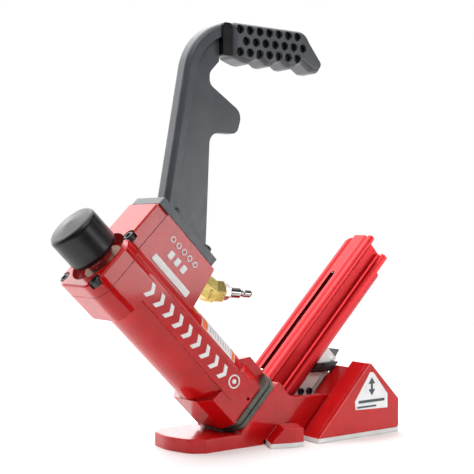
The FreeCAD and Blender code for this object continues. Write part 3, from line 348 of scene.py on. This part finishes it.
def rounded(points, radius, steps=5):
    """The outline with each corner turned into a short arc of this radius."""
    corners = [Vector(p) for p in points]
    outline = []
    for i, corner in enumerate(corners):
        back = (corners[i - 1] - corner).normalized()
        ahead = (corners[(i + 1) % len(corners)] - corner).normalized()
        half = back.angle(ahead) / 2
        centre = corner + (back + ahead).normalized() * (radius / math.sin(half))
        first = corner + back * (radius / math.tan(half)) - centre
        last = corner + ahead * (radius / math.tan(half)) - centre
        for step in range(steps + 1):
            outline.append(centre + first.slerp(last, step / steps))
    return outline


def circle(u, v, radius, steps=40):
    turn = 2 * math.pi / steps
    return [Vector((u + radius * math.cos(turn * i), v + radius * math.sin(turn * i)))
            for i in range(steps)]


def solid(name, build, material, body, bevel=0.0):
    """A mesh piece from its own build function, in millimetres, riding on a body."""
    mesh = bpy.data.meshes.new(name)
    shape = bmesh.new()
    build(shape)
    bmesh.ops.recalc_face_normals(shape, faces=shape.faces)
    bmesh.ops.scale(shape, vec=(MM, MM, MM), verts=shape.verts)
    shape.to_mesh(mesh)
    shape.free()
    mesh.materials.append(material)
    piece = bpy.data.objects.new(name, mesh)
    bpy.context.scene.collection.objects.link(piece)
    if bevel:
        rounding = piece.modifiers.new("rounding", "BEVEL")
        rounding.width = bevel * MM
        rounding.segments = 2
        rounding.limit_method = "ANGLE"
        rounding.angle_limit = math.radians(40)
    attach(piece, body)
    return piece


def raise_plates(outlines, matrix, side, low, high):
    """Flat plates on a flank: each outline is (u, w) points of the upright mid-plane."""
    def build(shape):
        for outline in outlines:
            rings = []
            for height in (low, high):
                rings.append([shape.verts.new(matrix @ Vector((p[0], side * height, p[1])))
                              for p in outline])
            shape.faces.new(rings[0])
            shape.faces.new(rings[1])
            for i in range(len(outline)):
                j = (i + 1) % len(outline)
                shape.faces.new((rings[0][i], rings[0][j], rings[1][j], rings[1][i]))
    return build


def bridge(shape, loops, rings=True):
    """Joins equal rings, or equal open rows, into a tube whose last one meets the first."""
    for one, two in zip(loops, loops[1:] + loops[:1]):
        for i in range(len(one) if rings else len(one) - 1):
            j = (i + 1) % len(one)
            shape.faces.new((one[i], one[j], two[j], two[i]))


def raise_ring(centre, outer, inner, matrix, side, low, high):
    """A flat ring on a flank."""
    def build(shape):
        loops = []
        for radius, height in ((inner, low), (outer, low), (outer, high), (inner, high)):
            loops.append([shape.verts.new(matrix @ Vector((p[0], side * height, p[1])))
                          for p in circle(centre[0], centre[1], radius)])
        bridge(shape, loops)
    return build


def box_outline(low_u, low_w, high_u, high_w):
    return [(low_u, low_w), (high_u, low_w), (high_u, high_w), (low_u, high_w)]


# ---------------------------------------------------------------- marks on the housing

MARK_SINK = 0.4                       # how deep a mark's foot is in the paint
BAND_MARK, BLOCK_MARK = 0.8, 0.7      # how far a mark stands out

CHEVRON_LOW, CHEVRON_HIGH = -4.6, 9.4       # run
CHEVRON_TOP, CHEVRON_PITCH, CHEVRONS = 217.0, 14.0, 9
CHEVRON_ARM, CHEVRON_TIP = 4.6, 4.2
RING_PLACE = (4.6, 84.8)
RING_OUTER, RING_INNER, DOT_RADIUS = 6.6, 5.3, 2.3

STRIP = (26.4, 175.5, 34.4, 229.0)          # low run, low rise, high run, high rise
BAR_LOW, BAR_HIGH = 39.6, 48.0              # run
BAR_TOP, BAR_PITCH, BAR_TALL, BARS = 218.4, 9.4, 6.6, 3
LINK_RUN, LINK_TOP, LINK_PITCH, LINKS = 55.6, 223.6, 8.4, 5
LINK_OUTER, LINK_INNER = 2.9, 1.9


def chevron(top):
    """One raised chevron that points down towards the nose."""
    middle = (CHEVRON_LOW + CHEVRON_HIGH) / 2
    foot = top - CHEVRON_ARM
    return [(CHEVRON_LOW, top), (middle, top - CHEVRON_TIP), (CHEVRON_HIGH, top),
            (CHEVRON_HIGH, foot), (middle, foot - CHEVRON_TIP), (CHEVRON_LOW, foot)]


def band_marks(side, tag, white):
    """A row of chevrons down the raised band, over a ring with a dot in it."""
    low, high = BAND_FACE - MARK_SINK, BAND_FACE + BAND_MARK
    row = [chevron(CHEVRON_TOP - CHEVRON_PITCH * i) for i in range(CHEVRONS)]
    solid("band_chevrons_" + tag, raise_plates(row, DRIVE, side, low, high), white,
          "frame", bevel=0.25)
    solid("band_ring_" + tag,
          raise_ring(RING_PLACE, RING_OUTER, RING_INNER, DRIVE, side, low, high), white,
          "frame", bevel=0.2)
    dot = circle(RING_PLACE[0], RING_PLACE[1], DOT_RADIUS)
    solid("band_dot_" + tag, raise_plates([dot], DRIVE, side, low, high), white,
          "frame", bevel=0.2)


def block_marks(side, tag, white):
    """A blank strip, three bars and five links on the valve block."""
    low, high = BLOCK_FACE - MARK_SINK, BLOCK_FACE + BLOCK_MARK
    strip = rounded(box_outline(*STRIP), 1.6)
    solid("block_strip_" + tag, raise_plates([strip], DRIVE, side, low, high), white,
          "frame", bevel=0.2)
    bars = []
    for i in range(BARS):
        top = BAR_TOP - BAR_PITCH * i
        bars.append(rounded(box_outline(BAR_LOW, top - BAR_TALL, BAR_HIGH, top), 1.4))
    solid("block_bars_" + tag, raise_plates(bars, DRIVE, side, low, high), white,
          "frame", bevel=0.2)
    for i in range(LINKS):
        centre = (LINK_RUN, LINK_TOP - LINK_PITCH * i)
        solid("block_link_%s_%d" % (tag, i),
              raise_ring(centre, LINK_OUTER, LINK_INNER, DRIVE, side, low, high), white,
              "frame", bevel=0.15)


# ---------------------------------------------------------------- labels

FOOT_LABEL = [(67.6, 26.2), (114.4, 24.4), (114.4, 41.0), (94.4, 64.4), (88.4, 65.6),
              (66.8, 36.6)]
FOOT_BARS = ((73.0, 33.6, 108.5, 36.4), (71.0, 28.8, 97.0, 30.6))
LABEL_SINK, LABEL_FACE = 0.2, 0.35          # the plate, below and above the foot's face
INK_SINK, INK_FACE = 0.3, 0.45              # the print, above the foot's face

ARROW_MIDDLE = Vector((91.0, 49.3))
ARROW_HEAD, ARROW_STEM = 4.6, 1.4           # half widths
ARROW_TIP, ARROW_NECK = 9.2, 2.7            # half heights


def double_arrow():
    """An arrow that points both up and down."""
    quarter = [(0.0, ARROW_TIP), (ARROW_HEAD, ARROW_NECK), (ARROW_STEM, ARROW_NECK)]
    right = quarter + [(u, -w) for u, w in reversed(quarter)]
    left = [(-u, w) for u, w in reversed(right[1:-1])]
    return [ARROW_MIDDLE + Vector(p) for p in right + left]


def foot_label(side, tag, white, ink):
    """A rounded plate on the foot with a plain up-and-down arrow over two bars."""
    solid("foot_label_" + tag,
          raise_plates([rounded(FOOT_LABEL, 2.6)], WORLD, side, FOOT_FACE - LABEL_SINK,
                       FOOT_FACE + LABEL_FACE), white, "foot", bevel=0.12)
    marks = [double_arrow()] + [box_outline(*bar) for bar in FOOT_BARS]
    solid("foot_label_marks_" + tag,
          raise_plates(marks, WORLD, side, FOOT_FACE + INK_SINK, FOOT_FACE + INK_FACE),
          ink, "foot")


def barrel_patch(spans, lift, thick, steps=22):
    """Curved plates on the barrel's magazine side: (rise, rise, angle, angle) each."""
    def build(shape):
        for low, high, start, end in spans:
            loops = []
            for rise, extra in ((low, 0), (low, thick), (high, thick), (high, 0)):
                radius = BARREL_RADIUS + lift + extra
                row = []
                for i in range(steps + 1):
                    angle = math.radians(start + (end - start) * i / steps)
                    point = (BARREL_SHIFT + radius * math.cos(angle),
                             radius * math.sin(angle), rise)
                    row.append(shape.verts.new(DRIVE @ Vector(point)))
                loops.append(row)
            bridge(shape, loops, rings=False)
            for i in (0, steps):
                shape.faces.new([row[i] for row in loops])
    return build


SAFETY_LOW, SAFETY_HIGH, SAFETY_HALF = 93.5, 147.0, 59.0    # rise, rise, degrees
SAFETY_HEAD, SAFETY_FOOT = 9.0, 5.4         # from the label's ends to the stripes' ends
SAFETY_RIM = 0.8                            # white left above and below the stripes
FILM_LIFT, FILM_THICK = -0.1, 0.3
PRINT_LIFT, STRIPE_THICK, ROW_THICK = 0.15, 0.12, 0.1
ROWS, ROW_PITCH, ROW_TALL = 9, 4.1, 1.1
ROW_GAP = 4.0                               # from the upper stripe to the first row


def safety_label(white, orange, grey):
    """A film round the barrel with two stripes and plain rows where print would be."""
    low, high, half = SAFETY_LOW, SAFETY_HIGH, SAFETY_HALF
    stripe = half - 1
    film = [(low, high, -half, half)]
    solid("safety_label", barrel_patch(film, FILM_LIFT, FILM_THICK), white, "frame")
    stripes = [(high - SAFETY_HEAD, high - SAFETY_RIM, -stripe, stripe),
               (low + SAFETY_RIM, low + SAFETY_FOOT, -stripe, stripe)]
    solid("safety_label_heads", barrel_patch(stripes, PRINT_LIFT, STRIPE_THICK), orange,
          "frame")
    rows = []
    for i in range(ROWS):
        rise = high - SAFETY_HEAD - ROW_GAP - ROW_PITCH * i
        short = 9 if i % 3 == 2 else 0      # each third row ends a paragraph
        rows.append((rise - ROW_TALL, rise, -half + 5, half - 6 - short))
    solid("safety_label_rows", barrel_patch(rows, PRINT_LIFT, ROW_THICK), grey, "frame")


# ---------------------------------------------------------------- magazine slot

SLOT_NEAR, SLOT_FAR = 42.0, 184.5           # run
SLOT_HALF, SLOT_CORNER = 3.4, 2.0
MAGAZINE_TOP = 44.9
LINING_DEPTH, LINING_THICK = 1.3, 0.35
LINING_LAP = 0.05                           # into the slot's wall and above its edge


def slot_lining(material):
    """A light plated lining round the follower's slot that laps just over its edge: a
    painted highlight along the slot's lip.
    """
    low, high = MAGAZINE_TOP - LINING_DEPTH, MAGAZINE_TOP + LINING_LAP

    def build(shape):
        rings = []
        for inset, rise in ((-LINING_LAP, low), (-LINING_LAP, high),
                            (LINING_THICK, high), (LINING_THICK, low)):
            half = SLOT_HALF - inset
            outline = rounded(box_outline(SLOT_NEAR + inset, -half, SLOT_FAR - inset, half),
                              SLOT_CORNER - inset)
            rings.append([shape.verts.new(DRIVE @ Vector((p[0], p[1], rise)))
                          for p in outline])
        bridge(shape, rings)
    solid("slot_lining", build, material, "frame")


# ---------------------------------------------------------------- clear strip

CLEAR_EDGE = (68.4, -14.6, 111.2, -11.0)    # low run, low rise, high run, high rise
CLEAR_INNER, CLEAR_OUTER = 11.7, 12.7


def clear_strip(material):
    """A see-through strip that stands beside the bracket, under the magazine."""
    solid("clear_strip",
          raise_plates([rounded(box_outline(*CLEAR_EDGE), 0.8)], DRIVE, NEAR, CLEAR_INNER,
                       CLEAR_OUTER), material, "frame", bevel=0.15)


# ---------------------------------------------------------------- stage

# Places and sizes on the stage are in metres.
CAMERA_PLACE = (-0.642, -0.830, 0.208)
CAMERA_TURN = 36.5
CAMERA_DIP = 0.5
CAMERA_LENS = 79.75
CAMERA_SENSOR = 36.0
SUBJECT = Vector((-0.03, 0.0, 0.17))

FRONT_GLOW = 0.06
BACK_GLOW = 2.7
TOP_GLOW = 0.9
BEHIND = (0.05, 0.86, 0.50)
WHITE = (1, 1, 1, 1)

FLOOR_PLACE, FLOOR_SIZE = (0.05, 0.70, 0), 2.0

LIGHTS = (
    # name, place, width, height, radiance
    ("overhead", (-0.1, 0.35, 1.9), 2.0, 1.6, 1.9),
    ("upper_front", (-0.2, -1.3, 1.7), 1.4, 0.8, 3.4),
    ("front_right", (1.24, -1.50, 0.20), 1.25, 0.36, 5.6),
    ("front_low", (1.35, -1.50, -0.25), 1.0, 0.30, 1.0),
    ("side_strip", (1.85, -0.46, 0.95), 0.35, 1.0, 1.2),
)


def make_camera():
    data = bpy.data.cameras.new("camera")
    data.lens = CAMERA_LENS
    data.sensor_width = CAMERA_SENSOR
    camera = bpy.data.objects.new("camera", data)
    camera.location = CAMERA_PLACE
    camera.rotation_euler = (math.radians(90 - CAMERA_DIP), 0, math.radians(-CAMERA_TURN))
    bpy.context.scene.collection.objects.link(camera)
    bpy.context.scene.camera = camera


def soft_box(name, place, width, height, radiance):
    """A panel of light that faces the tool."""
    data = bpy.data.lights.new(name, "AREA")
    data.shape = "RECTANGLE"
    data.size, data.size_y = width, height
    data.energy = radiance * math.pi * width * height
    lamp = bpy.data.objects.new(name, data)
    lamp.location = place
    lamp.rotation_euler = (SUBJECT - Vector(place)).to_track_quat("-Z", "Y").to_euler()
    bpy.context.scene.collection.objects.link(lamp)


def studio_world():
    """White backdrop. For light and reflections it is bright behind and above the tool
    and dim in front, like a white sweep in a dark room."""
    world = bpy.data.worlds.new("studio")
    bpy.context.scene.world = world
    world.use_nodes = True
    tree = world.node_tree
    ambient = tree.nodes["Background"]
    ambient.inputs["Color"].default_value = WHITE

    def node(kind, **settings):
        made = tree.nodes.new("ShaderNode" + kind)
        for key, value in settings.items():
            setattr(made, key, value)
        return made

    def ramp(source, low, high, to_low, to_high):
        made = node("MapRange", interpolation_type="SMOOTHSTEP")
        tree.links.new(source, made.inputs[0])
        for index, bound in enumerate((low, high, to_low, to_high), start=1):
            made.inputs[index].default_value = bound
        return made.outputs[0]

    def add(first, second):
        made = node("Math", operation="ADD")
        tree.links.new(first, made.inputs[0])
        tree.links.new(second, made.inputs[1])
        return made.outputs[0]

    direction = node("TexCoord").outputs["Generated"]

    def facing(way):
        made = node("VectorMath", operation="DOT_PRODUCT")
        tree.links.new(direction, made.inputs[0])
        made.inputs[1].default_value = Vector(way).normalized()
        return made.outputs["Value"]

    behind = ramp(facing(BEHIND), 0.45, 0.95, FRONT_GLOW, BACK_GLOW)
    above = ramp(facing((0, 0, 1)), 0.55, 0.95, 0.0, TOP_GLOW)
    tree.links.new(add(behind, above), ambient.inputs["Strength"])
    backdrop = node("Background")
    backdrop.inputs["Color"].default_value = WHITE
    mix = node("MixShader")
    tree.links.new(node("LightPath").outputs["Is Camera Ray"], mix.inputs[0])
    tree.links.new(ambient.outputs[0], mix.inputs[1])
    tree.links.new(backdrop.outputs[0], mix.inputs[2])
    tree.links.new(mix.outputs[0], tree.nodes["World Output"].inputs["Surface"])


def studio_floor():
    bpy.ops.mesh.primitive_plane_add(size=FLOOR_SIZE, location=FLOOR_PLACE)
    plane = bpy.context.object
    plane.name = "floor"
    f = Finish("floor", IOR=1.45, Specular_IOR_Level=0.2)
    plane.data.materials.append(
        f.done(f.mix(f.noise(60.0, 3), rgb(0.88, 0.88, 0.88), rgb(0.90, 0.90, 0.90)),
               f.vary(f.noise(20.0, 3), 0.55, 0.65)))


# ---------------------------------------------------------------- the whole scene

bpy.context.scene.view_settings.view_transform = "Standard"
finishes = make_finishes()
paint_frame(finishes)
white_trim = printed("white_trim", rgb(0.86, 0.86, 0.85), 0.30)
label_white = printed("label_white", rgb(0.90, 0.90, 0.90))
label_ink = printed("label_ink", rgb(0.03, 0.045, 0.06))
label_orange = printed("label_orange", rgb(0.90, 0.22, 0.06))
label_grey = printed("label_grey", rgb(0.42, 0.43, 0.46))
for side, tag in ((NEAR, "near"), (FAR, "far")):
    band_marks(side, tag, white_trim)
    block_marks(side, tag, white_trim)
    foot_label(side, tag, label_white, label_ink)
safety_label(label_white, label_orange, label_grey)
slot_lining(finishes["plated"])
clear_strip(clear_plastic())
make_camera()
studio_world()
studio_floor()
for light in LIGHTS:
    soft_box(*light)
